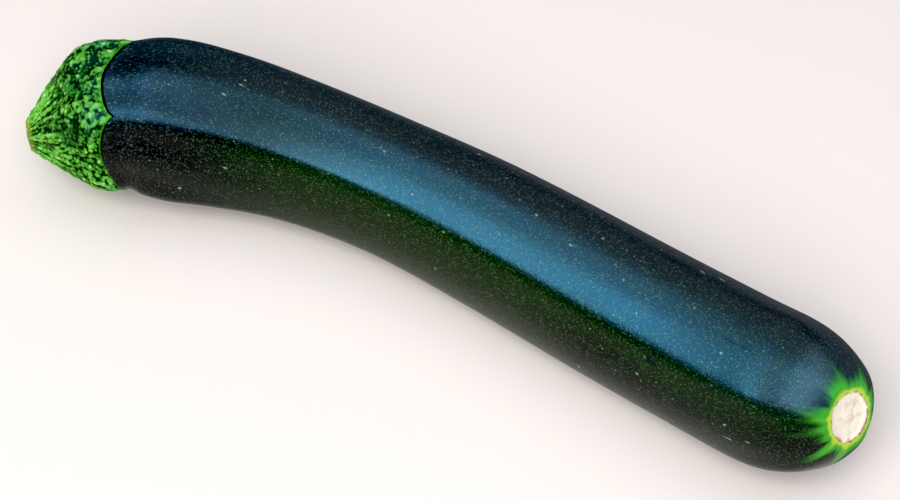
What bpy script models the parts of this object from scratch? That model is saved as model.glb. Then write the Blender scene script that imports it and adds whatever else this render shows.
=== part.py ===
"""A dark green summer squash (courgette), cut with its stem and lying on its side.

Two pieces: the fruit, with its ridges, its stem seat and its blossom scar, and the
stem, a five-ribbed warty bell whose edge runs out in five points along the ridges.
Everything is in metres, +Z up, and the squash rests on the plane z = 0.
"""

import math

import bmesh
import bpy
import numpy as np

MM = 0.001

# The bend. Distances run along the centre line from the stem's seat: the stem is at
# negative distances. Heading is the direction in plan, in degrees, before the whole
# squash is turned so that its chord lies along +X.
STEM_TIP = -26.2 * MM
SCAR_AT = 202.9 * MM
HEADING_AT = np.array([-27, -12, 0, 16, 40, 80, 120, 160, 206]) * MM
HEADING = (12, 12, 5, -5, -15, -26, -32, -33, -34)

# The profile: mean radius at distances along the centre line, from the cut of the
# stem over its bell and the fruit's shoulder to the belly, where the round end begins.
PROFILE_AT = np.array([-26.2, -21, -17, -12, -8, -4, 0, 6, 14, 26, 45, 70, 100, 140, 165, 178]) * MM
PROFILE_RADIUS = np.array(
    [3.6, 8.1, 11.9, 16.0, 18.0, 18.7, 18.3, 19.4, 20.1, 19.6, 18.1, 17.3, 18.0, 18.6, 18.7, 18.8]
) * MM
END_ROUND_AT = 179.0 * MM
END_ROUND_LENGTH = 25.2 * MM
END_SQUARENESS = 0.82
SCAR_RADIUS = 6.5 * MM
SCAR_TILT = 0.21
SCAR_FACES = math.radians(35)

# The squash touches the table at its shoulder, its waist and its belly, and both ends
# are off it.
REST_AT = np.array([16, 82, 158]) * MM
REST_PRESS = 0.25 * MM
STEM_HEIGHTS_AT = np.array([-26.2, -13, 0]) * MM
STEM_HEIGHTS = np.array([17.0, 19.3, 22.0]) * MM
END_HEIGHTS_AT = np.array([182, 193, 206]) * MM
END_HEIGHTS = np.array([20.8, 23.1, 26.9]) * MM

# The section: five main ridges, each with a narrow crest, and a lesser rib between each
# pair. The first ridge is this far round from the top, towards the viewer, and the
# ridges wind slowly.
RIDGES = 5
FIRST_RIDGE = math.radians(42.2)
RIDGE_WIND = math.radians(8.3)
RELIEF_AT = np.array([-25, -12, 0, 8, 25, 60, 120, 175, 190, 203]) * MM
MAIN_RELIEF = (0.10, 0.075, 0.045, 0.035, 0.024, 0.018, 0.015, 0.015, 0.018, 0.010)
LESSER_RELIEF = (0.015, 0.010, 0.018, 0.018, 0.008, 0.004, 0.003, 0.004, 0.008, 0.004)
CREST_RELIEF = (0.0, 0.0, 0.010, 0.020, 0.020, 0.015, 0.013, 0.013, 0.012, 0.004)
CREST_SHARPNESS = 8

# The edge of the stem: points that reach along the main ridges, with round bays
# between them where the dark skin bulges up. The edge leans a little as a whole.
POINT_REACH = -0.3 * MM
EDGE_LEAN = 3.0 * MM
LEAN_TOWARDS = math.radians(-40)
BAY_DEPTH = 3.5 * MM
BAY_ROUNDNESS = 0.62
LOBE_RISE = 1.0 * MM
LOBE_LENGTH = 9.0 * MM
CURL = 1.3 * MM
POINT_CURL = 0.3
CURL_LENGTH = 8.0 * MM
SEAT_CENTRE = -7.6 * MM
EDGE_STEP = 1.3 * MM
EDGE_INSET = 0.15 * MM
PIECE_GAP = 0.3 * MM

# The lower side that faces the viewer, where the stem is tucked in near its edge and the
# skin curls less under it.
LOWER_SIDE = math.radians(118)
TUCK = 0.8 * MM
TUCK_AT = -6.0 * MM
TUCK_LENGTH = 5.5 * MM
LOWER_CURL = 0.35

# Warts on the stem, larger than life so that they show at this number of faces.
WART_PITCH = 3.4 * MM
WART_RISE = 0.55 * MM
CUT_DISH = 0.9 * MM

# Steps round each piece, the same for both so that their facing sides run parallel.
STEPS_ROUND = 100
SPINE_STEPS = 2000


def smooth_curve(x, xs, ys):
    """Height at x of a smooth curve through the points (xs, ys)."""
    xs, ys = np.asarray(xs, float), np.asarray(ys, float)
    slopes = np.gradient(ys, xs)
    i = np.clip(np.searchsorted(xs, x) - 1, 0, len(xs) - 2)
    width = xs[i + 1] - xs[i]
    t = np.clip((x - xs[i]) / width, 0, 1)
    return (
        ys[i] * (1 + 2 * t) * (1 - t) ** 2
        + ys[i + 1] * t * t * (3 - 2 * t)
        + width * (slopes[i] * t * (1 - t) ** 2 - slopes[i + 1] * t * t * (1 - t))
    )


def ease(x):
    """0 below 0, 1 above 1, and smooth between."""
    x = np.clip(x, 0, 1)
    return x * x * (3 - 2 * x)


def from_ridge(along, around):
    """Angle round the section from the first main ridge."""
    return around - FIRST_RIDGE - RIDGE_WIND * along / SCAR_AT


def relief(along, around):
    """Factor by which ridges, ribs and crests scale the mean radius."""
    turn = RIDGES * from_ridge(along, around)
    main = smooth_curve(along, RELIEF_AT, MAIN_RELIEF)
    lesser = smooth_curve(along, RELIEF_AT, LESSER_RELIEF)
    crest = smooth_curve(along, RELIEF_AT, CREST_RELIEF) * ((1 + np.cos(turn)) / 2) ** CREST_SHARPNESS
    return 1 + main * np.cos(turn) + lesser * np.cos(2 * turn) + crest


def lower_side(around):
    """1 on the lower side that faces the viewer, falling to 0 away from it."""
    return np.maximum(np.cos(around - LOWER_SIDE), 0) ** 2


def outer_radius(along, around):
    tuck = TUCK * lower_side(around) * np.exp(-(((along - TUCK_AT) / TUCK_LENGTH) ** 2))
    return smooth_curve(along, PROFILE_AT, PROFILE_RADIUS) * relief(along, around) - tuck


def spine():
    """The centre line as arrays: distances, points and headings."""
    along = np.linspace(HEADING_AT[0], SCAR_AT + END_ROUND_LENGTH, SPINE_STEPS)
    heading = np.radians(smooth_curve(along, HEADING_AT, HEADING))
    resting = outer_radius(REST_AT, math.pi) - REST_PRESS
    heights_at = np.concatenate([STEM_HEIGHTS_AT, REST_AT, END_HEIGHTS_AT])
    heights = np.concatenate([STEM_HEIGHTS, resting, END_HEIGHTS])
    height = smooth_curve(along, heights_at, heights)
    climb = np.gradient(height, along)
    level = np.sqrt(1 - climb**2)
    step = along[1] - along[0]
    x = np.cumsum(level * np.cos(heading)) * step
    y = np.cumsum(level * np.sin(heading)) * step
    tip = np.array([np.interp(STEM_TIP, along, x), np.interp(STEM_TIP, along, y)])
    end = np.array([np.interp(SCAR_AT, along, x), np.interp(SCAR_AT, along, y)])
    chord = math.atan2(*(end - tip)[::-1])
    turned_x = math.cos(chord) * x + math.sin(chord) * y
    turned_y = math.cos(chord) * y - math.sin(chord) * x
    return along, np.stack([turned_x, turned_y, height], 1), heading - chord


SPINE_AT, SPINE_POINTS, SPINE_HEADING = spine()


def placed(along, around, radius):
    """Point at a distance along the centre line, an angle round it from the top
    towards the viewer, and a distance out from it."""
    along, around, radius = np.broadcast_arrays(along, around, radius)
    point = np.stack([np.interp(along, SPINE_AT, SPINE_POINTS[:, k]) for k in range(3)], -1)
    climb = np.interp(along, SPINE_AT, np.gradient(SPINE_POINTS[:, 2], SPINE_AT))
    heading = np.interp(along, SPINE_AT, SPINE_HEADING)
    side = np.stack([np.sin(heading), -np.cos(heading), 0 * heading], -1)
    level = np.sqrt(1 - climb**2)
    top = np.stack([-climb * np.cos(heading), -climb * np.sin(heading), level], -1)
    out = top * np.cos(around)[..., None] + side * np.sin(around)[..., None]
    return point + out * radius[..., None]


def bay(around):
    """0 at the points of the stem's edge and 1 in the middle of the bays."""
    return np.abs(np.sin(RIDGES / 2 * from_ridge(0, around)))


def edge_at(around):
    """Distance along the centre line of the stem's edge."""
    lean = EDGE_LEAN * np.cos(around - LEAN_TOWARDS)
    return POINT_REACH + lean - BAY_DEPTH * bay(around) ** BAY_ROUNDNESS


def scattered(place):
    """A number from 0 to 1 for each whole-number place, always the same one."""
    mixed = place @ np.array([127.1, 311.7, 74.7])
    return np.modf(np.abs(np.sin(mixed) * 43758.5453))[0]


def warts(points):
    """Rounded warts, one jittered in each cell of a grid, as heights from 0 to 1."""
    cell = np.floor(points / WART_PITCH)
    height = np.zeros(points.shape[:-1])
    for offset in np.ndindex(3, 3, 3):
        near = cell + np.array(offset) - 1
        jitter = np.stack([scattered(near + k * 17.0) for k in range(3)], -1)
        gap = np.linalg.norm(points / WART_PITCH - near - jitter, axis=-1)
        height = np.maximum(height, 1 - ease(gap / 0.75))
    return height


def new_object(name, mesh, colour, roughness):
    """A smooth-shaded object with its own material."""
    mesh.shade_smooth()
    mesh.set_sharp_from_angle(angle=math.radians(50))
    obj = bpy.data.objects.new(name, mesh)
    material = bpy.data.materials.new(name)
    material.use_nodes = True
    shader = material.node_tree.nodes["Principled BSDF"]
    shader.inputs["Base Color"].default_value = (*colour, 1)
    shader.inputs["Roughness"].default_value = roughness
    material.diffuse_color = (*colour, 1)
    mesh.materials.append(material)
    bpy.data.collections["squash"].objects.link(obj)
    return obj


def ball_mesh(name, place, rings):
    """A UV sphere whose vertices are moved to place(ring, around). Ring 0 is the pole
    at the stem's end of the piece and the last ring is the other pole."""
    bm = bmesh.new()
    bmesh.ops.create_uvsphere(bm, u_segments=STEPS_ROUND, v_segments=rings, radius=1)
    ball = np.array([vert.co for vert in bm.verts])
    around = np.arctan2(ball[:, 1], ball[:, 0]) + FIRST_RIDGE
    ring = np.rint(np.arccos(np.clip(ball[:, 2], -1, 1)) / math.pi * rings).astype(int)
    for vert, point in zip(bm.verts, place(ring, around)):
        vert.co = point
    bmesh.ops.recalc_face_normals(bm, faces=bm.faces)
    bmesh.ops.triangulate(bm, faces=bm.faces, quad_method="SHORT_EDGE")
    mesh = bpy.data.meshes.new(name)
    bm.to_mesh(mesh)
    bm.free()
    return mesh


def make_fruit():
    """The fruit, from the seat under the stem to the blossom scar."""
    seat_shares = np.array([0, 0.35, 0.7, 0.9, 1.0])
    from_edge = np.array([0, 0.5, 1.5, 3, 5, 8, 11, 14, 18, 23, 29, 36, 44, 54, 65, 77, 90, 103]) * MM
    from_edge = np.append(from_edge, np.array([116, 129, 141, 152, 162, 170]) * MM)
    end_turns = np.radians([3, 14, 25, 36, 46, 55, 63, 69])
    scar_shares = np.array([1.0, 0.9, 0.8, 0.4, 0])
    scar_depths = np.array([0, -0.1, 0.35, 0.55, 0.3]) * MM
    seats, skins, turns = len(seat_shares), len(from_edge), len(end_turns)
    rings = seats + skins + turns + len(scar_shares) - 1

    end_radius = smooth_curve(END_ROUND_AT, PROFILE_AT, PROFILE_RADIUS)

    def place(ring, around):
        edge = edge_at(around)
        # The seat under the stem, sunk by the thickness of the stem's edge.
        share = np.interp(ring, range(seats), seat_shares)
        seat_along = SEAT_CENTRE + (edge - PIECE_GAP - SEAT_CENTRE) * share**4
        seat_radius = (outer_radius(edge, around) - EDGE_STEP) * share
        # The skin, whose rings follow the stem's edge and then straighten out.
        start = np.interp(ring - seats, range(skins), from_edge)
        skin_along = start + edge * (1 - ease(start / from_edge[10]))
        lobe = LOBE_RISE * bay(around) * np.exp(-((start / LOBE_LENGTH) ** 2))
        curl = CURL * (POINT_CURL + (1 - POINT_CURL) * bay(around)) * (1 - ease(start / CURL_LENGTH))
        curl = curl * (1 - (1 - LOWER_CURL) * lower_side(around))
        skin_radius = outer_radius(skin_along, around) + lobe - curl
        # The round end.
        turn = np.interp(ring - seats - skins, range(turns), end_turns)
        end_along = END_ROUND_AT + END_ROUND_LENGTH * np.sin(turn) ** END_SQUARENESS
        round_radius = end_radius * np.cos(turn) ** END_SQUARENESS * relief(end_along, around)
        end_along = end_along - SCAR_TILT * np.sin(turn) * round_radius * np.cos(around - SCAR_FACES)
        # The blossom scar, a rim round a shallow dish.
        last = ring - seats - skins - turns
        scar_share = np.interp(last, range(len(scar_shares)), scar_shares)
        scar_depth = np.interp(last, range(len(scar_shares)), scar_depths)
        scar_radius = SCAR_RADIUS * scar_share
        scar_along = SCAR_AT - scar_depth - SCAR_TILT * scar_radius * np.cos(around - SCAR_FACES)
        stage = [ring < seats, ring < seats + skins, ring < seats + skins + turns]
        along = np.select(stage, [seat_along, skin_along, end_along], scar_along)
        radius = np.select(stage, [seat_radius, skin_radius, round_radius], scar_radius)
        points = placed(along, around, radius)
        points[:, 2] = np.maximum(points[:, 2], 0)
        return points

    mesh = ball_mesh("fruit", place, rings)
    return new_object("fruit", mesh, colour=(0.008, 0.020, 0.008), roughness=0.3)


def make_stem():
    """The stem: underside, edge, warty ribbed bell and the cut at its tip."""
    under_shares = np.array([0, 0.4, 0.75, 0.93, 1.0])
    bell_shares = np.array([0, 0.03, 0.09, 0.16, 0.23, 0.3, 0.37, 0.44, 0.51, 0.58, 0.65, 0.72])
    bell_shares = np.append(bell_shares, [0.79, 0.86, 0.93, 0.98])
    cut_shares = np.array([0.93, 0.8, 0.5, 0.0])
    cut_depths = np.array([0.0, 0.45, 0.9, 1.0])
    unders, bells = len(under_shares), len(bell_shares)
    rings = unders + bells + len(cut_shares) - 1

    def place(ring, around):
        # Ring 0 is the underside's centre, and the last one is the centre of the cut.
        edge = edge_at(around) - PIECE_GAP
        under_share = np.interp(ring, range(unders), under_shares)
        centre = SEAT_CENTRE - PIECE_GAP
        under_along = centre + (edge - PIECE_GAP - centre) * under_share**4
        under_radius = outer_radius(edge_at(around), around) - EDGE_STEP + PIECE_GAP
        under_radius = under_radius * under_share
        # The bell, from the edge to the cut.
        bell_share = np.interp(ring - unders, range(bells), bell_shares)
        bell_along = edge + (STEM_TIP - edge) * bell_share
        bell_radius = outer_radius(bell_along, around) - EDGE_INSET
        bumps = WART_RISE * (warts(placed(bell_along, around, bell_radius)) - 0.4)
        bell_radius = bell_radius + bumps * ease(bell_share / 0.1) * ease((1 - bell_share) / 0.1)
        # The cut.
        last = ring - unders - bells
        cut_share = np.interp(last, range(len(cut_shares)), cut_shares)
        cut_along = STEM_TIP + CUT_DISH * np.interp(last, range(len(cut_depths)), cut_depths)
        cut_radius = outer_radius(STEM_TIP, around) * cut_share
        stage = [ring < unders, ring < unders + bells]
        along = np.select(stage, [under_along, bell_along], cut_along)
        radius = np.select(stage, [under_radius, bell_radius], cut_radius)
        return placed(along, around, radius)

    mesh = ball_mesh("stem", place, rings)
    return new_object("stem", mesh, colour=(0.06, 0.20, 0.03), roughness=0.5)


def centre_on_origin(pieces):
    """Moves the pieces so that the middle of their box is over the origin."""
    corners = np.array([vert.co[:2] for piece in pieces for vert in piece.data.vertices])
    middle = (corners.min(axis=0) + corners.max(axis=0)) / 2
    for piece in pieces:
        piece.location = (-middle[0], -middle[1], 0)


def main():
    for old in list(bpy.data.objects):
        bpy.data.objects.remove(old)
    squash = bpy.data.collections.new("squash")
    bpy.context.scene.collection.children.link(squash)
    centre_on_origin([make_fruit(), make_stem()])


main()
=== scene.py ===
"""Finish for a dark green courgette lying on its side.

The skin and the stem are fine surfaces that keep the form of the solid pieces they
stand for. Everything is in metres, +Z up, with the stem at -X and the blossom scar
at +X.
"""

import math

import bpy
import numpy as np
from mathutils import Matrix, Vector


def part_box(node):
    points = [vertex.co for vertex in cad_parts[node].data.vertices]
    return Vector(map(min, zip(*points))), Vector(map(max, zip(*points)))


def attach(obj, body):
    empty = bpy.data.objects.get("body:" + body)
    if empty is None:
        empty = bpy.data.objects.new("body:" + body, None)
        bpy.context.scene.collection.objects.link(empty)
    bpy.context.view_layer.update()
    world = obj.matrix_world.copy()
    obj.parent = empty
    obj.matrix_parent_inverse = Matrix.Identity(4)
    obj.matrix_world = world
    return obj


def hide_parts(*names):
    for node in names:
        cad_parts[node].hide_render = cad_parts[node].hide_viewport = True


bl_info = {
    "name": "Courgette finish",
    "version": (1, 0, 0),
    "blender": (4, 5, 0),
    "location": "3D View > Sidebar > Courgette",
    "description": "Skin, stem and studio for a courgette lying on its side",
    "category": "Object",
}

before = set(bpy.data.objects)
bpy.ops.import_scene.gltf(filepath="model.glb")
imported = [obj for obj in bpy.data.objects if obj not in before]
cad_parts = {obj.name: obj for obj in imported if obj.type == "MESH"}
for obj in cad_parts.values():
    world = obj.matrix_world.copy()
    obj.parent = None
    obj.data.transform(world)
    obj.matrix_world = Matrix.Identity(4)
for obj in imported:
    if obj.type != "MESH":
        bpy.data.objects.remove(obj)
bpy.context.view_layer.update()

MM = 0.001

# The bend, by distance along the centre line from the stem's seat.
STEM_TIP = -26.2 * MM
SCAR_AT = 202.9 * MM
HEADING_AT = np.array([-27, -12, 0, 16, 40, 80, 120, 160, 206]) * MM
HEADING = (12, 12, 5, -5, -15, -26, -32, -33, -34)

# The profile: mean radius by distance along the centre line.
PROFILE_AT = np.array(
    [-26.2, -21, -17, -12, -8, -4, 0, 6, 14, 26, 45, 70, 100, 140, 165, 178]
) * MM
PROFILE_RADIUS = np.array([
    3.6, 8.1, 11.9, 16.0, 18.0, 18.7, 18.3, 19.4, 20.1, 19.6, 18.1, 17.3, 18.0, 18.6, 18.7,
    18.8,
]) * MM
END_ROUND_AT = 179.0 * MM
END_ROUND_LENGTH = 25.2 * MM
END_SQUARENESS = 0.82
SCAR_RADIUS = 6.5 * MM
SCAR_TILT = 0.21
SCAR_FACES = math.radians(35)

# Heights of the centre line.
STEM_HEIGHTS_AT = np.array([-26.2, -13, 0]) * MM
STEM_HEIGHTS = np.array([17.0, 19.3, 22.0]) * MM
REST_AT = np.array([16, 82, 158]) * MM
REST_PRESS = 0.25 * MM
END_HEIGHTS_AT = np.array([182, 193, 206]) * MM
END_HEIGHTS = np.array([20.8, 23.1, 26.9]) * MM

# The section's ridges and ribs.
RIDGES = 5
FIRST_RIDGE = math.radians(42.2)
RIDGE_WIND = math.radians(8.3)
RELIEF_AT = np.array([-25, -12, 0, 8, 25, 60, 120, 175, 190, 203]) * MM
MAIN_RELIEF = (0.10, 0.075, 0.045, 0.035, 0.024, 0.018, 0.015, 0.015, 0.018, 0.010)
LESSER_RELIEF = (0.015, 0.010, 0.018, 0.018, 0.008, 0.004, 0.003, 0.004, 0.008, 0.004)
CREST_RELIEF = (0.0, 0.0, 0.010, 0.020, 0.020, 0.015, 0.013, 0.013, 0.012, 0.004)
CREST_SHARPNESS = 8

# The edge of the stem and the skin's lobes between its points.
POINT_REACH = -0.3 * MM
EDGE_LEAN = 3.0 * MM
LEAN_TOWARDS = math.radians(-40)
BAY_DEPTH = 3.5 * MM
BAY_ROUNDNESS = 0.62
LOBE_RISE = 1.0 * MM
LOBE_LENGTH = 9.0 * MM
CURL = 1.3 * MM
POINT_CURL = 0.3
CURL_LENGTH = 8.0 * MM
SEAT_CENTRE = -7.6 * MM
EDGE_STEP = 1.3 * MM
EDGE_INSET = 0.15 * MM
PIECE_GAP = 0.3 * MM
LOWER_SIDE = math.radians(118)
TUCK = 0.8 * MM
TUCK_AT = -6.0 * MM
TUCK_LENGTH = 5.5 * MM
LOWER_CURL = 0.35
CUT_DISH = 0.9 * MM

# How finely the surfaces are drawn: points round each, and rows of points in each part.
SPINE_STEPS = 2000
SKIN_ROUND = 360
SEAT_ROWS = 10
SKIN_ROWS = 190
END_ROWS = 38
RIM_ROWS = 7
STEM_ROUND = 380
UNDER_ROWS = 12
EDGE_ROWS = 12
BELL_ROWS = 190
CUT_ROWS = 26
FLOOR_STEPS = 21

# The skin's rows start along the stem's edge and have straightened out after this fade.
SKIN_LENGTH = 180 * MM
EDGE_FADE = 29 * MM

# Radius of the straight cylinder that the patterns and marks are laid out on.
GIRTH = 18.6 * MM

# The view: where it looks from and what it looks at.
VIEW_AZIMUTH = 24.95
VIEW_ELEVATION = 52.0
VIEW_LENS = 100.0
VIEW_DISTANCE = 0.6148
VIEW_TARGET = Vector((0.0026, -0.0036, 0.019))

# The two lamps that light the floor and the rind's own colours.
KEY_AT = Vector((0.1, -0.75, 0.85))
KEY_SIDES = (1.1, 0.9)
FILL_AT = Vector((0.0, 0.0, 1.3))
FILL_SIDES = (2.2, 2.2)

# The cool panels hang at this height. Each has its middle, its sides, its share of the
# light and its paleness, from the cool colour at 0 to white at 1.
PANEL_HEIGHT = 0.9
PANELS = (
    ((-0.475, -0.835), (0.25, 0.43), 1.7, 0.0),
    ((-0.175, -0.835), (0.35, 0.43), 0.7, 0.1),
    ((-0.19, -0.37), (0.18, 0.50), 0.65, 0.12),
    ((-0.44, -0.37), (0.32, 0.50), 1.0, 0.0),
    ((-0.01, -0.235), (0.18, 0.77), 0.17, 0.5),
    ((-0.35, 0.115), (0.30, 0.47), 0.44, 0.1),
    ((-0.09, 0.25), (0.22, 0.2), 0.2, 0.2),
    ((-0.22, 0.42), (0.36, 0.14), 0.2, 0.25),
    ((-0.21, 0.67), (0.42, 0.36), 0.06, 0.45),
    ((-0.21, 1.15), (0.42, 0.6), 0.05, 0.5),
    ((-0.85, 0.75), (0.4, 0.25), 0.15, 0.3),
    ((0.32, -0.4), (0.36, 0.8), 0.42, 0.05),
    ((0.32, 0.3), (0.36, 0.6), 0.13, 0.25),
    ((0.9, -0.35), (0.8, 1.1), 0.8, 0.2),
    ((0.9, 0.45), (0.8, 0.5), 0.2, 0.3),
)

# Rays of lighter green round the scar: their angle round it and half width in degrees,
# and their length in millimetres.
HALO_RAYS = (
    (-14, 12, 1.3), (10, 9, 0.8), (52, 12, 1.8), (76, 7, 1.0), (112, 8, 3.2), (150, 12, 1.5),
    (-60, 14, 1.5), (-95, 12, 1.8), (-140, 14, 2.2), (180, 12, 1.6),
)

# Chips and scratches in the rind: how far along and how far round they are, their half
# length and half width in millimetres and their slant in degrees.
CHIPS = (
    (10.6, 15, 0.25, 0.16, 20), (12.8, 16, 0.2, 0.15, 0), (26.2, 13, 0.28, 0.2, 30),
    (29.5, 1, 0.35, 0.18, -20), (31.1, 68, 0.45, 0.25, 15), (156.8, -24, 0.4, 0.2, 10),
    (161.7, -27, 0.3, 0.18, 0), (182.2, 91, 0.25, 0.2, 0), (186.9, 87, 0.4, 0.3, 30),
)

# Dark scuffs, in the same way.
SCUFFS = ((176, 19, 6.5, 0.28, 2), (158, 59, 2.2, 0.9, 10))

# Flecks of the rind, from fine and many to coarse and few: the length and width of the
# cell that holds one, in millimetres, its size as a share of the cell, the least own
# number that shows, and its strength.
FLECKS = (
    (0.55, 0.45, 0.5, 0.1, 0.28),
    (0.95, 0.8, 0.3, 0.35, 0.4),
    (2.3, 1.7, 0.15, 0.4, 0.8),
    (6.0, 4.5, 0.1, 0.3, 1.5),
)

# Places of a colour mix's sockets: its share, its two colours and its result.
MIX_SHARE, MIX_LOW, MIX_HIGH = 0, 6, 7
COLOUR_MIX = {"data_type": "RGBA", "output": 2}


def linear(code):
    """An sRGB hex colour as linear red, green, blue and a full alpha."""
    parts = [int(code[i:i + 2], 16) / 255 for i in (1, 3, 5)]
    return (*(p / 12.92 if p <= 0.04045 else ((p + 0.055) / 1.055) ** 2.4 for p in parts), 1.0)


def smooth_curve(x, xs, ys):
    """Cubic Hermite curve through the points (xs, ys), read at x."""
    xs, ys = np.asarray(xs, float), np.asarray(ys, float)
    slopes = np.gradient(ys, xs)
    i = np.clip(np.searchsorted(xs, x) - 1, 0, len(xs) - 2)
    width = xs[i + 1] - xs[i]
    t = np.clip((x - xs[i]) / width, 0, 1)
    return (
        ys[i] * (1 + 2 * t) * (1 - t) ** 2
        + ys[i + 1] * t * t * (3 - 2 * t)
        + width * (slopes[i] * t * (1 - t) ** 2 - slopes[i + 1] * t * t * (1 - t))
    )


def ease(x):
    """0 below 0, 1 above 1, and smooth between."""
    x = np.clip(x, 0, 1)
    return x * x * (3 - 2 * x)


def from_ridge(along, around):
    """Angle round the section from the first main ridge, which winds with distance."""
    return around - FIRST_RIDGE - RIDGE_WIND * along / SCAR_AT


def crest(along, around):
    """1 on the main ridges, falling to 0 between them: a raised cosine to a high power."""
    return ((1 + np.cos(RIDGES * from_ridge(along, around))) / 2) ** CREST_SHARPNESS


def relief(along, around):
    """Factor on the mean radius: a cosine for the main ridges, one at twice its rate
    for the ribs between them, and a narrow crest on each main ridge."""
    turn = RIDGES * from_ridge(along, around)
    main = smooth_curve(along, RELIEF_AT, MAIN_RELIEF)
    lesser = smooth_curve(along, RELIEF_AT, LESSER_RELIEF)
    sharp = smooth_curve(along, RELIEF_AT, CREST_RELIEF)
    return 1 + main * np.cos(turn) + lesser * np.cos(2 * turn) + sharp * crest(along, around)


def lower_side(around):
    """1 on the lower side that faces the viewer, falling to 0 as a squared cosine."""
    return np.maximum(np.cos(around - LOWER_SIDE), 0) ** 2


def outer_radius(along, around):
    """Mean radius from the profile, times the relief, less the tuck of the stem's lower
    side, which is a bell curve of distance."""
    tuck = TUCK * lower_side(around) * np.exp(-(((along - TUCK_AT) / TUCK_LENGTH) ** 2))
    return smooth_curve(along, PROFILE_AT, PROFILE_RADIUS) * relief(along, around) - tuck


def spine():
    """The centre line: its heading and height are smooth curves of distance, and its
    points are their running sum, turned so that the chord lies along +X."""
    along = np.linspace(HEADING_AT[0], SCAR_AT + END_ROUND_LENGTH, SPINE_STEPS)
    heading = np.radians(smooth_curve(along, HEADING_AT, HEADING))
    resting = outer_radius(REST_AT, math.pi) - REST_PRESS
    heights_at = np.concatenate([STEM_HEIGHTS_AT, REST_AT, END_HEIGHTS_AT])
    heights = np.concatenate([STEM_HEIGHTS, resting, END_HEIGHTS])
    height = smooth_curve(along, heights_at, heights)
    climb = np.gradient(height, along)
    level = np.sqrt(1 - climb**2)
    step = along[1] - along[0]
    x = np.cumsum(level * np.cos(heading)) * step
    y = np.cumsum(level * np.sin(heading)) * step
    tip = np.array([np.interp(STEM_TIP, along, x), np.interp(STEM_TIP, along, y)])
    end = np.array([np.interp(SCAR_AT, along, x), np.interp(SCAR_AT, along, y)])
    chord = math.atan2(*(end - tip)[::-1])
    turned_x = math.cos(chord) * x + math.sin(chord) * y
    turned_y = math.cos(chord) * y - math.sin(chord) * x
    return along, np.stack([turned_x, turned_y, height], 1), heading - chord


SPINE_AT, SPINE_POINTS, SPINE_HEADING = spine()
SPINE_SLOPE = np.gradient(SPINE_POINTS[:, 2], SPINE_AT)


def placed(along, around, radius):
    """Centre line's point, plus the radius times a unit vector that turns by the angle
    around from the section's top towards the viewer."""
    along, around, radius = np.broadcast_arrays(along, around, radius)
    point = np.stack([np.interp(along, SPINE_AT, SPINE_POINTS[:, k]) for k in range(3)], -1)
    climb = np.interp(along, SPINE_AT, SPINE_SLOPE)
    heading = np.interp(along, SPINE_AT, SPINE_HEADING)
    side = np.stack([np.sin(heading), -np.cos(heading), 0 * heading], -1)
    level = np.sqrt(1 - climb**2)
    top = np.stack([-climb * np.cos(heading), -climb * np.sin(heading), level], -1)
    out = top * np.cos(around)[..., None] + side * np.sin(around)[..., None]
    return point + out * radius[..., None]


def bay(around):
    """0 at the points of the stem's edge and 1 in the middle of the bays."""
    return np.abs(np.sin(RIDGES / 2 * from_ridge(0, around)))


def edge_at(around):
    """Distance along the centre line of the stem's edge: points with round bays."""
    lean = EDGE_LEAN * np.cos(around - LEAN_TOWARDS)
    return POINT_REACH + lean - BAY_DEPTH * bay(around) ** BAY_ROUNDNESS


def scattered(place):
    """A number from 0 to 1 for each whole-number place, always the same one."""
    mixed = place @ np.array([127.1, 311.7, 74.7])
    return np.modf(np.abs(np.sin(mixed) * 43758.5453))[0]


def cloud(points):
    """Value noise from -1 to 1: numbers on a unit grid, eased between its corners."""
    cell = np.floor(points)
    share = ease(points - cell)
    total = np.zeros(points.shape[:-1])
    for corner in np.ndindex(2, 2, 2):
        corner = np.array(corner)
        weight = np.prod(np.where(corner, share, 1 - share), axis=-1)
        total += weight * scattered(cell + corner)
    return 2 * total - 1


def pebbles(points):
    """Rounded bumps, one jittered in each cell of a unit grid: height falls from 1 at
    the nearest bump's middle. Also the bump's own number from 0 to 1."""
    cell = np.floor(points)
    height = np.zeros(points.shape[:-1])
    own = np.zeros(points.shape[:-1])
    for offset in np.ndindex(3, 3, 3):
        near = cell + np.array(offset) - 1
        jitter = np.stack([scattered(near + k * 17.0) for k in range(3)], -1)
        gap = np.linalg.norm(points - near - jitter, axis=-1)
        bump = 1 - ease(gap / 0.8)
        own = np.where(bump > height, scattered(near + 51.0), own)
        height = np.maximum(height, bump)
    return height, own


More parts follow.
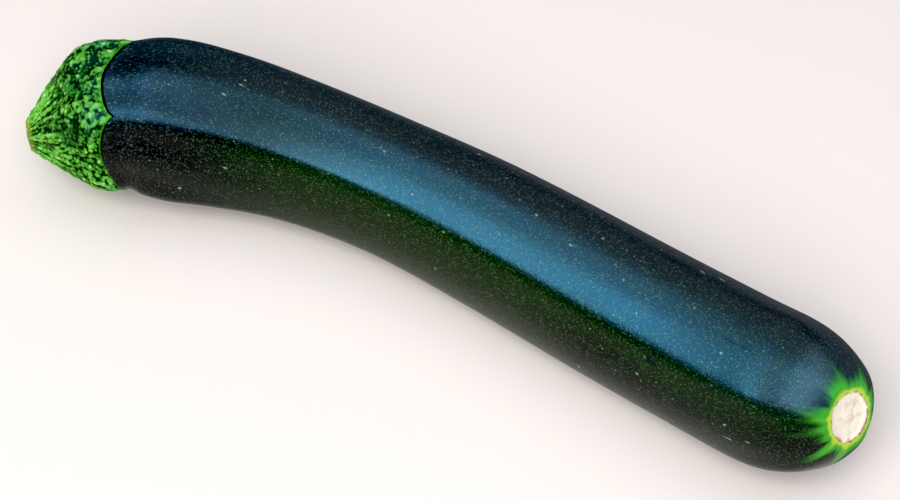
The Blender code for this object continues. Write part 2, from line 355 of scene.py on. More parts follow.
def closed_mesh(name, rings, values=(), vectors=()):
    """A closed surface through rings of points, whose first and last rings shrink to a
    point, with values and vectors kept on its vertices as attributes."""
    count, steps = rings.shape[:2]

    def gathered(grid):
        grid = np.broadcast_to(grid, (count, steps, *grid.shape[2:]))
        middle = grid[1:-1].reshape(-1, *grid.shape[2:])
        return np.concatenate([grid[:1].mean(axis=1), middle, grid[-1:].mean(axis=1)])

    vertices = gathered(rings)
    here = 1 + np.arange((count - 3) * steps).reshape(count - 3, steps)
    turned = np.roll(here, -1, axis=1)
    quads = np.stack([here, turned, turned + steps, here + steps], -1).reshape(-1, 4)
    first = 1 + np.arange(steps)
    last = first + (count - 3) * steps
    top = np.stack([np.zeros(steps, int), np.roll(first, -1), first], -1)
    bottom = np.stack([np.full(steps, len(vertices) - 1), last, np.roll(last, -1)], -1)
    corners = vertices[quads]
    cross = np.cross(corners[:, 1] - corners[:, 0], corners[:, 3] - corners[:, 0])
    if (cross * (corners[:, 0] - vertices.mean(axis=0))).sum() < 0:
        quads, top, bottom = quads[:, ::-1], top[:, ::-1], bottom[:, ::-1]
    mesh = bpy.data.meshes.new(name)
    mesh.from_pydata(vertices.tolist(), [], top.tolist() + quads.tolist() + bottom.tolist())
    for key, grid in dict(values).items():
        kept = mesh.attributes.new(key, "FLOAT", "POINT")
        kept.data.foreach_set("value", gathered(grid).astype(np.float32))
    for key, grid in dict(vectors).items():
        kept = mesh.attributes.new(key, "FLOAT_VECTOR", "POINT")
        kept.data.foreach_set("vector", gathered(grid).astype(np.float32).ravel())
    mesh.shade_smooth()
    return mesh


def outward(rings):
    """Unit normals of a ring surface, from the cross product of its two directions."""
    across = np.roll(rings, -1, axis=1) - np.roll(rings, 1, axis=1)
    down = np.gradient(rings, axis=0)
    normal = np.cross(down, across)
    normal /= np.linalg.norm(normal, axis=-1, keepdims=True) + 1e-12
    away = rings - rings.mean(axis=1, keepdims=True)
    return normal * np.sign((normal * away).sum())


def straightened(rings, around):
    """Each point's place on the straight cylinder: the length of the surface from the
    first ring, and two coordinates round the cylinder."""
    step = np.linalg.norm(np.diff(rings, axis=0), axis=-1).mean(axis=1)
    length = np.concatenate([[0], np.cumsum(step)])[:, None] + 0 * around
    return np.stack([length, GIRTH * np.cos(around), GIRTH * np.sin(around)], -1)


def skin_rings():
    """The fruit's surface as a grid of rings by angles, and what its finish needs."""
    around = np.linspace(0, 2 * math.pi, SKIN_ROUND, endpoint=False)[None, :]
    edge = edge_at(around)
    # The seat under the stem.
    share = np.linspace(0, 1, SEAT_ROWS)[:, None]
    seat_along = SEAT_CENTRE + (edge - PIECE_GAP - SEAT_CENTRE) * share**4
    seat_radius = (outer_radius(edge, around) - EDGE_STEP) * share
    # The skin, whose rings follow the stem's edge and then straighten out.
    start = SKIN_LENGTH * np.linspace(0, 1, SKIN_ROWS)[:, None] ** 1.3
    skin_along = start + edge * (1 - ease(start / EDGE_FADE))
    lobe = LOBE_RISE * bay(around) * np.exp(-((start / LOBE_LENGTH) ** 2))
    curl = CURL * (POINT_CURL + (1 - POINT_CURL) * bay(around))
    curl = curl * (1 - ease(start / CURL_LENGTH))
    curl = curl * (1 - (1 - LOWER_CURL) * lower_side(around))
    skin_radius = outer_radius(skin_along, around) + lobe - curl
    # The round end.
    turn = np.radians(np.linspace(5, 70, END_ROWS))[:, None]
    end_radius = smooth_curve(END_ROUND_AT, PROFILE_AT, PROFILE_RADIUS)
    end_along = END_ROUND_AT + END_ROUND_LENGTH * np.sin(turn) ** END_SQUARENESS + 0 * around
    round_radius = end_radius * np.cos(turn) ** END_SQUARENESS * relief(end_along, around)
    end_along = end_along - SCAR_TILT * np.sin(turn) * round_radius * np.cos(around - SCAR_FACES)
    # The blossom scar, a rim round a shallow dish, with an uneven outline.
    inward = np.concatenate([np.linspace(1, 0.8, 10), np.linspace(0.76, 0, 14)])[:, None]
    depth = np.interp(1 - inward, [0, 0.1, 0.2, 0.6, 1.0], [0, -0.1, 0.35, 0.55, 0.3]) * MM
    scar_radius = SCAR_RADIUS * inward + 0 * around
    scar_along = SCAR_AT - depth - SCAR_TILT * scar_radius * np.cos(around - SCAR_FACES)
    # Rows between the round end and the scar.
    share = np.linspace(0, 1, RIM_ROWS + 2)[1:-1, None]
    rim_along = end_along[-1:] * (1 - share) + scar_along[:1] * share
    rim_radius = round_radius[-1:] * (1 - share) + scar_radius[:1] * share
    along = np.concatenate([seat_along, skin_along, end_along, rim_along, scar_along])
    radius = np.concatenate([seat_radius, skin_radius, round_radius, rim_radius, scar_radius])
    around = around + 0 * along
    points = placed(along, around, radius)
    straight = straightened(points, around)
    is_scar = np.zeros(along.shape)
    is_scar[-len(inward):] = 1
    # Slight lengthwise ripples, and a corky face on the scar.
    long_grain = cloud(straight / (np.array([55, 5.5, 5.5]) * MM))
    fine_grain = cloud(straight / (np.array([24, 2.4, 2.4]) * MM) + 7)
    skin_lift = (0.05 * long_grain + 0.012 * fine_grain) * MM * (1 - is_scar)
    cork = cloud(points / (1.1 * MM)) + 0.5 * cloud(points / (0.5 * MM))
    lift = skin_lift + 0.07 * MM * cork * is_scar
    points = points + outward(points) * lift[..., None]
    points[..., 2] = np.maximum(points[..., 2], 0)
    return points, along, radius, around, straight, is_scar


def offset_in_plan():
    """From the middle of the fine skin's box to the middle of its solid's, in plan."""
    low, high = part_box("fruit")
    points = skin_rings()[0].reshape(-1, 3)
    middle = (points.min(axis=0) + points.max(axis=0)) / 2
    return np.array((low + high) / 2)[:2] - middle[:2]


SPINE_POINTS[:, :2] += offset_in_plan()


def add(tree, kind, inputs=(), output=0, **settings):
    """Adds a node with its settings. Inputs go by name or place, as values or as the
    sockets that feed them. Returns one of its outputs."""
    made = tree.nodes.new(kind)
    for key, value in settings.items():
        setattr(made, key, value)
    for key, value in dict(inputs).items():
        if isinstance(value, bpy.types.NodeSocket):
            tree.links.new(value, made.inputs[key])
        else:
            made.inputs[key].default_value = value
    return made.outputs[output] if made.outputs else None


def new_material(name, roughness, ior):
    """A material with one Principled shader, its node tree and the shader's inputs."""
    material = bpy.data.materials.new(name)
    material.use_nodes = True
    tree = material.node_tree
    tree.nodes.clear()
    surface = add(tree, "ShaderNodeBsdfPrincipled", {"Roughness": roughness, "IOR": ior})
    add(tree, "ShaderNodeOutputMaterial", {"Surface": surface})
    return material, tree, surface.node.inputs


def per_mm(*lengths):
    """Scales that make one unit of a pattern as long as each length in millimetres."""
    return tuple(1 / (length * MM) for length in lengths)


def waxy_skin(look):
    """Courgette rind under its own wax, grown smooth. The wax gives broad, cool, slightly
    soft reflections; the rind is almost black green and full of fine pale flecks."""
    material, tree, surface = new_material("courgette_rind", 0.3, 1.33)
    surface["Specular IOR Level"].default_value = 0.4
    straight = add(tree, "ShaderNodeAttribute", output="Vector", attribute_name="straight")
    keys = ("halo", "under_ridge", "stem_end_shade", "painted_far_shade", "painted_belly_reflection", "dull", "chip", "scuff")
    halo, under_ridge, stem_end_shade, painted_far_shade, painted_belly_reflection, dull, chip, scuff = (
        add(tree, "ShaderNodeAttribute", output="Fac", attribute_name=key) for key in keys
    )

    # Lengthwise clouds of darker and lighter green.
    place = add(tree, "ShaderNodeMapping", {"Vector": straight, "Scale": per_mm(30, 7, 7)})
    cloudy = add(tree, "ShaderNodeTexNoise", {"Vector": place, "Scale": 1.0, "Detail": 4.0})
    edge = {"Value": cloudy, "From Min": 0.38, "From Max": 0.68}
    share = add(tree, "ShaderNodeMapRange", edge)
    mix = {MIX_SHARE: share, MIX_LOW: look.darkest, MIX_HIGH: look.skin}
    colour = add(tree, "ShaderNodeMix", mix, **COLOUR_MIX)
    # Painted light among these tones: the paler lower middle is a painted reflection of the
    # floor, and the purple black next to the stem and on the far side is painted shade.
    tones = (
        (painted_belly_reflection, look.painted_belly_reflection), (under_ridge, look.under_ridge), (painted_far_shade, look.painted_far_shade),
        (stem_end_shade, look.stem_end_shade),
    )
    for mask, tone in tones:
        mix = {MIX_SHARE: mask, MIX_LOW: colour, MIX_HIGH: tone}
        colour = add(tree, "ShaderNodeMix", mix, **COLOUR_MIX)

    # A real one's finest flecks are about 0.1 mm wide, and these are coarser so that they
    # show.
    for length, width, size, least, strength in FLECKS:
        scale = per_mm(length, width, width)
        place = add(tree, "ShaderNodeMapping", {"Vector": straight, "Scale": scale})
        cells = {"Vector": place, "Scale": 1.0}
        gap = add(tree, "ShaderNodeTexVoronoi", cells, "Distance")
        own = add(tree, "ShaderNodeTexVoronoi", cells, "Color")
        own = add(tree, "ShaderNodeSeparateColor", {0: own})
        own = {"Value": own, "From Min": least, "To Max": strength}
        own = add(tree, "ShaderNodeMapRange", own)
        edge = {"Value": gap, "From Min": size, "From Max": size / 4}
        dot = add(tree, "ShaderNodeMapRange", edge, interpolation_type="SMOOTHSTEP")
        dot = add(tree, "ShaderNodeMath", {0: dot, 1: own}, operation="MULTIPLY")
        mix = {MIX_SHARE: dot, MIX_LOW: colour, MIX_HIGH: look.fleck}
        colour = add(tree, "ShaderNodeMix", mix, **COLOUR_MIX)

    # Round the scar the green lightens, and turns yellow at the rim.
    for low, high, tone in ((0.08, 0.45, look.halo), (0.5, 0.9, look.halo_rim)):
        edge = {"Value": halo, "From Min": low, "From Max": high}
        share = add(tree, "ShaderNodeMapRange", edge, interpolation_type="SMOOTHSTEP")
        mix = {MIX_SHARE: share, MIX_LOW: colour, MIX_HIGH: tone}
        colour = add(tree, "ShaderNodeMix", mix, **COLOUR_MIX)

    # Chips, where the rind has healed pale, and dark scuffs.
    for mask, tone in ((chip, look.chip), (scuff, look.scuff)):
        mix = {MIX_SHARE: mask, MIX_LOW: colour, MIX_HIGH: tone}
        colour = add(tree, "ShaderNodeMix", mix, **COLOUR_MIX)
    tree.links.new(colour, surface["Base Color"])

    # The wax is thinner and duller towards both ends and in clouds.
    patchy = add(tree, "ShaderNodeMath", {0: cloudy, 1: 0.35}, operation="MULTIPLY")
    patchy = add(tree, "ShaderNodeMath", {0: dull, 1: patchy}, operation="ADD")
    patchy = add(tree, "ShaderNodeMath", {0: scuff, 1: patchy}, operation="ADD")
    rough = {"Value": patchy, "From Min": 0.1, "From Max": 1.5, "To Min": 0.24, "To Max": 0.75}
    tree.links.new(add(tree, "ShaderNodeMapRange", rough), surface["Roughness"])

    # Pores about 0.5 mm apart roughen the gloss.
    place = add(tree, "ShaderNodeMapping", {"Vector": straight, "Scale": per_mm(0.6, 0.5, 0.5)})
    pores = add(tree, "ShaderNodeTexNoise", {"Vector": place, "Scale": 1.0, "Detail": 3.0})
    height = {"Strength": 0.7, "Distance": look.pore_depth, "Height": pores}
    tree.links.new(add(tree, "ShaderNodeBump", height), surface["Normal"])
    return material


def corky_scar(look):
    """Dried tissue where the blossom fell off: pale, matte and slightly fibrous cork,
    with crumbs of dried petal round its rim."""
    material, tree, surface = new_material("corky_scar", 0.8, 1.45)
    place = add(tree, "ShaderNodeTexCoord", output="Object")
    rim = add(tree, "ShaderNodeAttribute", output="Fac", attribute_name="scar_rim")
    noise = {"Vector": place, "Scale": 0.52 / MM, "Detail": 6.0}
    patches = add(tree, "ShaderNodeTexNoise", noise)
    edge = {"Value": patches, "From Min": 0.5, "From Max": 0.8}
    share = add(tree, "ShaderNodeMapRange", edge)
    mix = {MIX_SHARE: share, MIX_LOW: look.scar, MIX_HIGH: look.scar_patches}
    colour = add(tree, "ShaderNodeMix", mix, **COLOUR_MIX)
    ragged = add(tree, "ShaderNodeMath", {0: patches, 1: rim}, operation="MULTIPLY")
    edge = {"Value": ragged, "From Min": 0.26, "From Max": 0.46}
    share = add(tree, "ShaderNodeMapRange", edge)
    mix = {MIX_SHARE: share, MIX_LOW: colour, MIX_HIGH: look.scar_rim}
    colour = add(tree, "ShaderNodeMix", mix, **COLOUR_MIX)
    # Crumbs about 0.5 mm across, one to a millimetre.
    gap = add(tree, "ShaderNodeTexVoronoi", {"Vector": place, "Scale": 1 / MM}, "Distance")
    speck = add(tree, "ShaderNodeMapRange", {"Value": gap, "From Min": 0.5, "From Max": 0.3})
    near = add(tree, "ShaderNodeMapRange", {"Value": ragged, "From Min": 0.34, "From Max": 0.44})
    share = add(tree, "ShaderNodeMath", {0: speck, 1: near}, operation="MULTIPLY")
    mix = {MIX_SHARE: share, MIX_LOW: colour, MIX_HIGH: look.crumbs}
    colour = add(tree, "ShaderNodeMix", mix, **COLOUR_MIX)
    tree.links.new(colour, surface["Base Color"])
    noise = {"Vector": place, "Scale": 1.6 / MM, "Detail": 4.0}
    grain = add(tree, "ShaderNodeTexNoise", noise)
    height = {"Strength": 0.6, "Distance": look.cork_depth, "Height": grain}
    tree.links.new(add(tree, "ShaderNodeBump", height), surface["Normal"])
    return material


def angle_from(around, degrees):
    """The angle round the section from a given one, at most half a turn either way."""
    return (around - math.radians(degrees) + math.pi) % (2 * math.pi) - math.pi


def marks(places, along, around):
    """1 on some marks and 0 elsewhere. Each is an ellipse on the unrolled skin: how far
    along and round it is, how long and wide, and how it is turned."""
    mask = 0 * along
    for middle, turned, length, width, slant in places:
        x, y = along / MM - middle, angle_from(around, turned) * GIRTH / MM
        lean = math.radians(slant)
        u = (x * math.cos(lean) + y * math.sin(lean)) / length
        v = (y * math.cos(lean) - x * math.sin(lean)) / width
        mask = np.maximum(mask, ease(1.6 * (1 - u * u - v * v)))
    return mask


def scar_outline(around):
    """Radius of the scar's rim, which is a little off centre, and of its ragged edge."""
    circle = np.stack([np.cos(around), np.sin(around), 0 * around], -1)
    rim = SCAR_RADIUS * (0.97 + 0.07 * np.cos(around + math.radians(128)))
    ragged = rim + SCAR_RADIUS * (0.045 * cloud(2.5 * circle) + 0.045 * cloud(9 * circle))
    return rim, ragged


def green_halo(along, around, gap):
    """Lighter green that fades with the gap from the scar's rim, in millimetres. Rays run
    out over it, each with its own length, and it is widest on the left and below."""
    ray = 1.4 + 0.6 * np.cos(around - math.radians(75))
    for middle, width, length in HALO_RAYS:
        turn = angle_from(around, middle)
        ray = ray + length * np.exp(-((turn / math.radians(width)) ** 2))
    circle = np.stack([gap / 9, 7 * np.cos(around), 7 * np.sin(around)], -1)
    streaks = cloud(circle + 3) + 0.35 * cloud(3 * circle + 9)
    ray = ray * (1 + 0.5 * streaks)
    return np.where(along > END_ROUND_AT, np.exp(-gap / np.maximum(ray, 0.3)), 0)


def rind_tones(along, around, start, straight):
    """Where the rind's colour changes: greener just below each ridge, paler along the lower
    middle as a painted reflection of the floor, and purple black next to the stem and on the far
    side as painted shade."""
    turn = from_ridge(along, around)
    strip = np.exp(-((np.sin(RIDGES / 2 * (turn - math.radians(11))) / 0.45) ** 2))
    below = ease((start - 12 * MM) / (40 * MM)) * strip
    below = below * (0.75 + 0.25 * cloud(straight / (9 * MM)))
    middle = ease((start - 30 * MM) / (35 * MM)) * (1 - ease((along - 118 * MM) / (30 * MM)))
    return {
        "under_ridge": np.clip(below, 0, 1),
        # Painted reflection: paler rind along the lower middle, facing the floor.
        "painted_belly_reflection": middle * ease(np.cos(around - math.radians(95))),
        # Painted shade: purple black rind next to the stem, fading over the first 43 mm.
        "stem_end_shade": 1 - ease((start - 5 * MM) / (38 * MM)),
        # Painted shade: purple black along the far side, turned away from the lamps.
        "painted_far_shade": 0.9 * ease(0.5 - 1.6 * np.sin(around - math.radians(3))),
    }


def wax_dullness(along, around, start):
    """How dull the wax is: duller towards both ends on the upper side, and dullest along
    the far outline."""
    upper = np.exp(-((angle_from(around, 25) / math.radians(32)) ** 2))
    stem_end = 0.5 * (1 - ease((start - 4 * MM) / (38 * MM)))
    scar_end = 0.35 * ease((along - 148 * MM) / (24 * MM))
    far = ease(0.5 - 3 * np.sin(around + math.radians(23)))
    return (stem_end + scar_end) * upper + 1.2 * far


def make_skin(look):
    """The fruit's skin and scar as one closed surface in two finishes."""
    points, along, radius, around, straight, is_scar = skin_rings()
    start = along - edge_at(around)
    rim, ragged = scar_outline(around)
    halo = green_halo(along, around, np.maximum(radius - rim, 0) / MM)
    values = rind_tones(along, around, start, straight)
    values["painted_far_shade"] = values["painted_far_shade"] * (1 - ease(4 * halo))
    values["chip"] = marks(CHIPS, along, around)
    values["scuff"] = 0.8 * marks(SCUFFS, along, around)
    values = {key: value * (1 - is_scar) for key, value in values.items()}
    values["halo"] = halo
    values["dull"] = wax_dullness(along, around, start)
    values["scar_rim"] = np.clip(radius / rim, 0, 1) ** 4
    mesh = closed_mesh("skin", points, values, {"straight": straight})
    skin = bpy.data.objects.new("skin", mesh)
    bpy.context.scene.collection.objects.link(skin)
    mesh.materials.append(waxy_skin(look))
    mesh.materials.append(corky_scar(look))
    # Faces inside the scar's ragged edge get the cork, the rest the rind.
    inside = (radius < ragged) & (along > END_ROUND_AT)
    kinds = [np.zeros(SKIN_ROUND), inside[1:-2].ravel(), np.ones(SKIN_ROUND)]
    mesh.polygons.foreach_set("material_index", np.concatenate(kinds).astype(np.int32))
    return skin


def warty_stem(look):
    """Courgette stem rind, grown warty, ribbed and hard. Small glossy bumps over mid green carry
    painted pale glints on some of their tops, with painted shade of dark green between them and
    in the valleys of the ribs."""
    material, tree, surface = new_material("stem_rind", 0.4, 1.33)
    surface["Specular IOR Level"].default_value = 0.15
    keys = ("wart", "wart_own", "tone", "knob", "smooth_rim", "near_cut")
    wart, own, tone, knob, rim, tip = (
        add(tree, "ShaderNodeAttribute", output="Fac", attribute_name=key) for key in keys
    )
    place = add(tree, "ShaderNodeTexCoord", output="Object")
    noise = {"Vector": place, "Scale": 0.7 / MM, "Detail": 3.0}
    mottle = add(tree, "ShaderNodeTexNoise", noise)
    patchy = add(tree, "ShaderNodeMath", {0: mottle, 1: tone}, operation="MULTIPLY")
    edge = {"Value": patchy, "From Min": 0.12, "From Max": 0.42}
    share = add(tree, "ShaderNodeMapRange", edge)
    mix = {MIX_SHARE: share, MIX_LOW: look.deep, MIX_HIGH: look.wart}
    tops = add(tree, "ShaderNodeMix", mix, **COLOUR_MIX)
    mix = {MIX_SHARE: knob, MIX_LOW: tops, MIX_HIGH: look.knob}
    tops = add(tree, "ShaderNodeMix", mix, **COLOUR_MIX)
    # Painted shade: near black green where the wart height is low, between the bumps.
    share = add(tree, "ShaderNodeMapRange", {"Value": wart, "From Min": 0.2, "From Max": 0.5})
    mix = {MIX_SHARE: share, MIX_LOW: look.painted_hollow_shade, MIX_HIGH: tops}
    colour = add(tree, "ShaderNodeMix", mix, **COLOUR_MIX)
    # Painted glints: pale tops on some of the warts, coloured in where the lamps' glints would
    # show.
    pale = add(tree, "ShaderNodeMapRange", {"Value": own, "From Min": 0.45, "From Max": 0.8})
    top = add(tree, "ShaderNodeMapRange", {"Value": wart, "From Min": 0.5, "From Max": 0.75})
    share = add(tree, "ShaderNodeMath", {0: pale, 1: top}, operation="MULTIPLY")
    mix = {MIX_SHARE: share, MIX_LOW: colour, MIX_HIGH: look.painted_glint}
    colour = add(tree, "ShaderNodeMix", mix, **COLOUR_MIX)
    for mask, shade in ((rim, look.edge), (tip, look.dried_rind)):
        mix = {MIX_SHARE: mask, MIX_LOW: colour, MIX_HIGH: shade}
        colour = add(tree, "ShaderNodeMix", mix, **COLOUR_MIX)
    tree.links.new(colour, surface["Base Color"])
    # Fine pimples about 0.4 mm apart.
    grain = add(tree, "ShaderNodeTexNoise", {"Vector": place, "Scale": 2.5 / MM, "Detail": 2.0})
    height = {"Strength": 0.7, "Distance": look.pimple_depth, "Height": grain}
    tree.links.new(add(tree, "ShaderNodeBump", height), surface["Normal"])
    rough = {"Value": mottle, "From Min": 0.3, "From Max": 0.7, "To Min": 0.35, "To Max": 0.6}
    tree.links.new(add(tree, "ShaderNodeMapRange", rough), surface["Roughness"])
    return material


def dried_cut(look):
    """The cut end of the stem, dried brown: matte, fibrous and darker at its rim."""
    material, tree, surface = new_material("dried_cut", 0.85, 1.45)
    place = add(tree, "ShaderNodeTexCoord", output="Object")
    gap = add(tree, "ShaderNodeTexVoronoi", {"Vector": place, "Scale": 1.5 / MM}, "Distance")
    share = add(tree, "ShaderNodeMapRange", {"Value": gap, "From Min": 0.1, "From Max": 0.6})
    mix = {MIX_SHARE: share, MIX_LOW: look.dried, MIX_HIGH: look.dried_rim}
    colour = add(tree, "ShaderNodeMix", mix, **COLOUR_MIX)
    tree.links.new(colour, surface["Base Color"])
    return material


def make_stem(look):
    """The stem: underside, edge, warty ribbed bell and the cut at its tip."""
    around = np.linspace(0, 2 * math.pi, STEM_ROUND, endpoint=False)[None, :]
    edge = edge_at(around) - PIECE_GAP
    under_share = np.linspace(0, 1, UNDER_ROWS)[:, None]
    centre = SEAT_CENTRE - PIECE_GAP
    under_along = centre + (edge - PIECE_GAP - centre) * under_share**4
    under_radius = (outer_radius(edge_at(around), around) - EDGE_STEP + PIECE_GAP) * under_share
    edge_share = np.linspace(0, 0.05, EDGE_ROWS)
    bell_share = np.concatenate([edge_share, np.linspace(0.056, 1, BELL_ROWS)])[:, None]
    bell_along = edge + (STEM_TIP - edge) * bell_share
    bell_radius = outer_radius(bell_along, around) - EDGE_INSET
    cut_share = np.linspace(0.985, 0, CUT_ROWS)[:, None]
    cut_depth = np.interp(1 - cut_share, [0, 0.1, 0.25, 0.55, 1.0], [0, 0.05, 0.45, 0.9, 1.0])
    cut_along = STEM_TIP + CUT_DISH * cut_depth + 0 * around
    cut_radius = outer_radius(STEM_TIP, around) * cut_share
    along = np.concatenate([under_along, bell_along, cut_along])
    radius = np.concatenate([under_radius, bell_radius, cut_radius])
    around = around + 0 * along
    points = placed(along, around, radius)
    share = np.concatenate([0 * under_share, bell_share, 0 * cut_share + 1])
    straight = straightened(points, around)
    towards_tip = ease((share - 0.25) / 0.5)
    coarse, coarse_own = pebbles(straight / (np.array([2.6, 1.9, 1.9]) * MM))
    fine, fine_own = pebbles(points / (0.95 * MM) + 31)
    broad = cloud(points / (4.5 * MM))
    ribs = cloud(straight / (np.array([14, 1.5, 1.5]) * MM) + 11)
    ribs = ribs + 0.6 * cloud(straight / (np.array([8, 0.8, 0.8]) * MM) + 23)
    rough = ease(share / 0.035) * ease((1 - share) / 0.1 + 0.3)
    rough = np.where((share > 0) & (share < 1), rough, 0)
    # A smooth swelling on each ridge just behind the stem's edge.
    lean = np.sin(RIDGES / 2 * from_ridge(0, around))
    knob = np.exp(-((lean / 0.42) ** 2) - ((share - 0.13) / 0.09) ** 2)
    bumps = (look.wart_height * (coarse - 0.4) + look.fine_wart_height * (fine - 0.4)) / MM
    lift = bumps * (1 - 0.4 * towards_tip) * (1 - 0.6 * knob) + 0.4 * broad + 0.35 * knob
    lift = (lift + 0.28 * ribs * (0.25 + 0.75 * towards_tip)) * MM * rough
    fibre = cloud(points / (0.5 * MM)) * 0.25 * MM * (share >= 1)
    points = points + outward(points) * (lift + fibre)[..., None]
    wart = np.clip(0.55 * coarse + 0.45 * fine, 0, 1) * (1 - 0.3 * towards_tip)
    wart = wart + 0.3 * towards_tip * np.clip(0.5 + ribs, 0, 1)
    # The lower tone in the valleys of the ribs towards the tip gives darker green there as
    # painted shade; the broad clouds are the rind's own tone.
    tone = 0.6 + 0.5 * broad + 0.3 * ribs * towards_tip
    mesh = closed_mesh(
        "stem_bell",
        points,
        {
            "wart": wart,
            "wart_own": coarse_own * 0.4 + fine_own * 0.6,
            "tone": np.clip(tone, 0, 1),
            "knob": 0.8 * knob * rough,
            "smooth_rim": 0.6 * (1 - ease(share / (0.035 + 0.02 * broad))),
            "near_cut": ease((share - 0.9) / 0.1) * np.clip(0.8 + 0.5 * broad, 0, 1),
        },
    )
    stem = bpy.data.objects.new("stem_bell", mesh)
    bpy.context.scene.collection.objects.link(stem)
    mesh.materials.append(warty_stem(look))
    mesh.materials.append(dried_cut(look))
    kinds = np.zeros(len(mesh.polygons), np.int32)
    kinds[-STEM_ROUND * (CUT_ROWS - 1):] = 1
    mesh.polygons.foreach_set("material_index", kinds)
    return stem


def look_at(place, target):
    """A matrix at a place, looking at the target with its top up."""
    turn = (target - place).to_track_quat("-Z", "Y").to_matrix().to_4x4()
    return Matrix.Translation(place) @ turn


def add_lamp(name, place, target, sides, radiance, colour):
    """A soft rectangular lamp that faces its target and shines with a given radiance,
    which is its power over pi times its area."""
    lamp = bpy.data.lights.new(name, "AREA")
    lamp.shape = "RECTANGLE"
    lamp.size, lamp.size_y = sides
    lamp.energy = radiance * math.pi * sides[0] * sides[1]
    lamp.color = colour[:3]
    hung = bpy.data.objects.new(name, lamp)
    hung.matrix_world = look_at(place, target)
    bpy.context.scene.collection.objects.link(hung)
    return hung


def make_stage(look):
    """A plain pale floor, soft lamps overhead, dim surroundings and the camera."""
    scene = bpy.context.scene
    steps = np.linspace(-1, 1, FLOOR_STEPS) * look.floor_size / 2
    x, y = np.meshgrid(steps, steps, indexing="ij")
    spots = np.stack([x, y, 0 * x], -1).reshape(-1, 3)
    here = np.arange(FLOOR_STEPS**2).reshape(FLOOR_STEPS, FLOOR_STEPS)
    squares = np.stack([here[:-1, :-1], here[1:, :-1], here[1:, 1:], here[:-1, 1:]], -1)
    mesh = bpy.data.meshes.new("floor")
    mesh.from_pydata(spots.tolist(), [], squares.reshape(-1, 4).tolist())
    floor = bpy.data.objects.new("floor", mesh)
    scene.collection.objects.link(floor)
    material, tree, surface = new_material("pale_paint", 0.9, 1.05)
    surface["Base Color"].default_value = tuple(look.floor)
    mesh.materials.append(material)

    world = bpy.data.worlds.new("dim_room")
    world.use_nodes = True
    background = world.node_tree.nodes["Background"]
    background.inputs["Color"].default_value = tuple(look.room_colour)
    background.inputs["Strength"].default_value = look.room
    scene.world = world
    scene.view_settings.view_transform = "Standard"
    scene.view_settings.use_curve_mapping = True
    scene.view_settings.curve_mapping.black_level = (look.black,) * 3

    # Two lamps light the floor and the rind's own colours, and cool panels overhead make
    # the reflections.
    key = add_lamp("key", KEY_AT, Vector(), KEY_SIDES, look.key, look.lamp_colour)
    fill = add_lamp("fill", FILL_AT, Vector(), FILL_SIDES, look.fill, look.lamp_colour)
    key.visible_glossy = fill.visible_glossy = False
    cool = Vector(look.panel_colour[:3])
    for count, (middle, sides, share, paleness) in enumerate(PANELS):
        hung_at = Vector((*middle, PANEL_HEIGHT))
        below = hung_at - Vector((0, 0, 1))
        colour = cool.lerp(Vector((1, 1, 1)), paleness)
        panel = add_lamp(f"panel_{count}", hung_at, below, sides, share * look.panels, colour)
        panel.visible_diffuse = False

    azimuth, elevation = math.radians(VIEW_AZIMUTH), math.radians(VIEW_ELEVATION)
    away = Vector((
        math.sin(azimuth) * math.cos(elevation),
        -math.cos(azimuth) * math.cos(elevation),
        math.sin(elevation),
    ))
    lens = bpy.data.cameras.new("view")
    lens.lens = VIEW_LENS
    lens.clip_start = 0.01
    camera = bpy.data.objects.new("view", lens)
    camera.matrix_world = look_at(VIEW_TARGET + away * VIEW_DISTANCE, VIEW_TARGET)
    scene.collection.objects.link(camera)
    scene.camera = camera


def colour_setting(name, description, code):
    """A colour property with its sRGB default."""
    return bpy.props.FloatVectorProperty(
        name=name, description=description, size=4, subtype="COLOR", min=0, max=1,
        default=linear(code),
    )


def depth_setting(name, description, depth):
    """A property for a small length, with its default."""
    return bpy.props.FloatProperty(
        name=name, description=description, default=depth, min=0, precision=5, unit="LENGTH",
    )


class SquashSkinLook(bpy.types.PropertyGroup):
    """Colours and sizes of the fruit's skin and scar."""

    darkest: colour_setting("Darkest rind", "Rind where it is nearly black", "#070c08")
    skin: colour_setting("Rind", "Rind where it is dark green", "#0b1a0e")
    under_ridge: colour_setting("Below the ridges", "Greener rind just below a ridge", "#14290e")
    # Painted reflection: the paler colour along the lower middle.
    painted_belly_reflection: colour_setting("Belly", "Paler rind along the belly", "#192513")
    # Painted shade: the colour of the far side.
    painted_far_shade: colour_setting("Far side", "Purple black rind on the far side", "#1b171b")
    # Painted shade: the near black colour next to the stem.
    stem_end_shade: colour_setting("Shoulder", "Purple black rind next to the stem", "#0b090f")
    fleck: colour_setting("Flecks", "The fine flecks in the rind", "#7a9f76")
    chip: colour_setting("Chips", "Healed chips and scratches in the rind", "#93a892")
    scuff: colour_setting("Scuffs", "Dark scuffs on the rind", "#06080a")
    halo: colour_setting("Halo", "Bright green round the scar", "#41a22c")
    halo_rim: colour_setting("Halo at the rim", "Yellow green at the scar's rim", "#aed43c")
    scar: colour_setting("Scar", "The pale face of the blossom scar", "#efe4d0")
    scar_patches: colour_setting("Scar patches", "Darker patches of the scar's cork", "#cfae86")
    scar_rim: colour_setting("Scar rim", "Rim of the blossom scar", "#b98a62")
    crumbs: colour_setting("Crumbs", "Dried petal round the scar", "#4e2f1c")
    pore_depth: depth_setting("Pore depth", "Depth of the rind's pores", 0.06 * MM)
    cork_depth: depth_setting("Cork depth", "Depth of the scar's fine grain", 0.15 * MM)


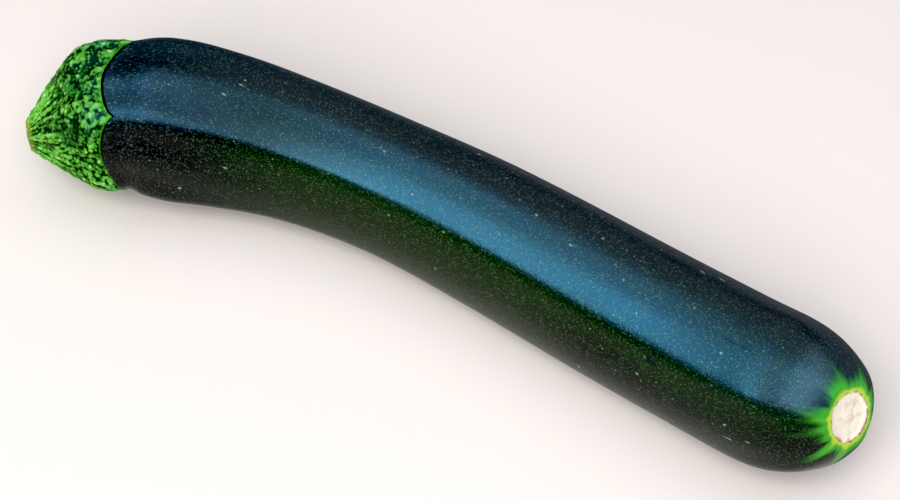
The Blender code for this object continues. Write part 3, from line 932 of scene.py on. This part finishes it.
class SquashStemLook(bpy.types.PropertyGroup):
    """Colours and sizes of the stem."""

    # Painted shade: the colour between the warts.
    painted_hollow_shade: colour_setting("Hollows", "Stem rind between its warts", "#0b240b")
    deep: colour_setting("Deep green", "Stem rind where it is darker", "#307528")
    wart: colour_setting("Warts", "Stem rind on its warts", "#68bb42")
    # Painted glints: the pale colour put on some wart tops in place of real glints.
    painted_glint: colour_setting("Pale warts", "The palest warts", "#bfe49a")
    knob: colour_setting("Swellings", "Smooth swellings behind the stem's points", "#479a5e")
    edge: colour_setting("Edge", "The smooth edge round the fruit", "#3f9a25")
    dried_rind: colour_setting("Dried rind", "Yellowing rind next to the cut", "#8d9a3c")
    dried: colour_setting("Dried flesh", "Dried flesh at the cut", "#7d6f3c")
    dried_rim: colour_setting("Dried rim", "Darker fibres at the cut", "#4c3a1e")
    wart_height: depth_setting("Wart height", "Height of the larger warts", 0.6 * MM)
    fine_wart_height: depth_setting("Fine wart height", "Height of the small warts", 0.3 * MM)
    pimple_depth: depth_setting("Pimple depth", "Height of the fine pimples", 0.12 * MM)


class SquashStageLook(bpy.types.PropertyGroup):
    """The floor and the light."""

    floor: colour_setting("Floor", "Colour of the floor", "#eae4e0")
    floor_size: bpy.props.FloatProperty(
        name="Floor size", description="Length of the floor's sides",
        default=3.0, min=0.5, unit="LENGTH",
    )
    key: bpy.props.FloatProperty(
        name="Key lamp", description="Radiance of the lamp in front, which lights the floor",
        default=4.7, min=0,
    )
    fill: bpy.props.FloatProperty(
        name="Fill lamp", description="Radiance of the wide lamp overhead",
        default=1.05, min=0,
    )
    lamp_colour: colour_setting("Lamp colour", "Colour of both lamps", "#fffaf6")
    panels: bpy.props.FloatProperty(
        name="Panels", description="Radiance of the brightest of the cool panels",
        default=26.5, min=0,
    )
    panel_colour: colour_setting("Panel colour", "Colour of the cool panels", "#69c7ff")
    room: bpy.props.FloatProperty(
        name="Room", description="Strength of the light from the room around",
        default=0.2, min=0,
    )
    room_colour: colour_setting("Room colour", "Colour of the light from the room", "#8fb4d8")
    black: bpy.props.FloatProperty(
        name="Black point", description="Brightness that the picture shows as black",
        default=0.018, min=0, max=0.1,
    )


class SQUASH_OT_skin(bpy.types.Operator):
    """Add the fruit's skin with its blossom scar"""

    bl_idname = "squash.skin"
    bl_label = "Skin"

    def execute(self, context):
        skin = make_skin(context.scene.squash_skin)
        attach(skin, "root")
        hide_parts("fruit")
        return {"FINISHED"}


class SQUASH_OT_stem(bpy.types.Operator):
    """Add the warty stem with its cut end"""

    bl_idname = "squash.stem"
    bl_label = "Stem"

    def execute(self, context):
        stem = make_stem(context.scene.squash_stem)
        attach(stem, "root")
        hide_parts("stem")
        return {"FINISHED"}


class SQUASH_OT_stage(bpy.types.Operator):
    """Add the floor, the lamps and the camera"""

    bl_idname = "squash.stage"
    bl_label = "Stage"

    def execute(self, context):
        make_stage(context.scene.squash_stage)
        return {"FINISHED"}


class SQUASH_PT_panel(bpy.types.Panel):
    """The pieces of the courgette, in the order they are made"""

    bl_label = "Courgette"
    bl_idname = "SQUASH_PT_panel"
    bl_space_type = "VIEW_3D"
    bl_region_type = "UI"
    bl_category = "Courgette"

    def draw(self, context):
        layout = self.layout
        layout.operator("squash.skin")
        layout.operator("squash.stem")
        layout.operator("squash.stage")


CLASSES = (
    SquashSkinLook, SquashStemLook, SquashStageLook,
    SQUASH_OT_skin, SQUASH_OT_stem, SQUASH_OT_stage, SQUASH_PT_panel,
)


def register():
    """Makes the pieces' operators, panel and settings known."""
    for part in CLASSES:
        bpy.utils.register_class(part)
    bpy.types.Scene.squash_skin = bpy.props.PointerProperty(type=SquashSkinLook)
    bpy.types.Scene.squash_stem = bpy.props.PointerProperty(type=SquashStemLook)
    bpy.types.Scene.squash_stage = bpy.props.PointerProperty(type=SquashStageLook)


def unregister():
    """Takes them away again, in the opposite order."""
    del bpy.types.Scene.squash_stage
    del bpy.types.Scene.squash_stem
    del bpy.types.Scene.squash_skin
    for part in reversed(CLASSES):
        bpy.utils.unregister_class(part)


def main():
    """Makes the courgette and its stage."""
    register()
    bpy.ops.squash.skin()
    bpy.ops.squash.stem()
    bpy.ops.squash.stage()
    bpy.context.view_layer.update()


if __name__ == "__main__":
    main()
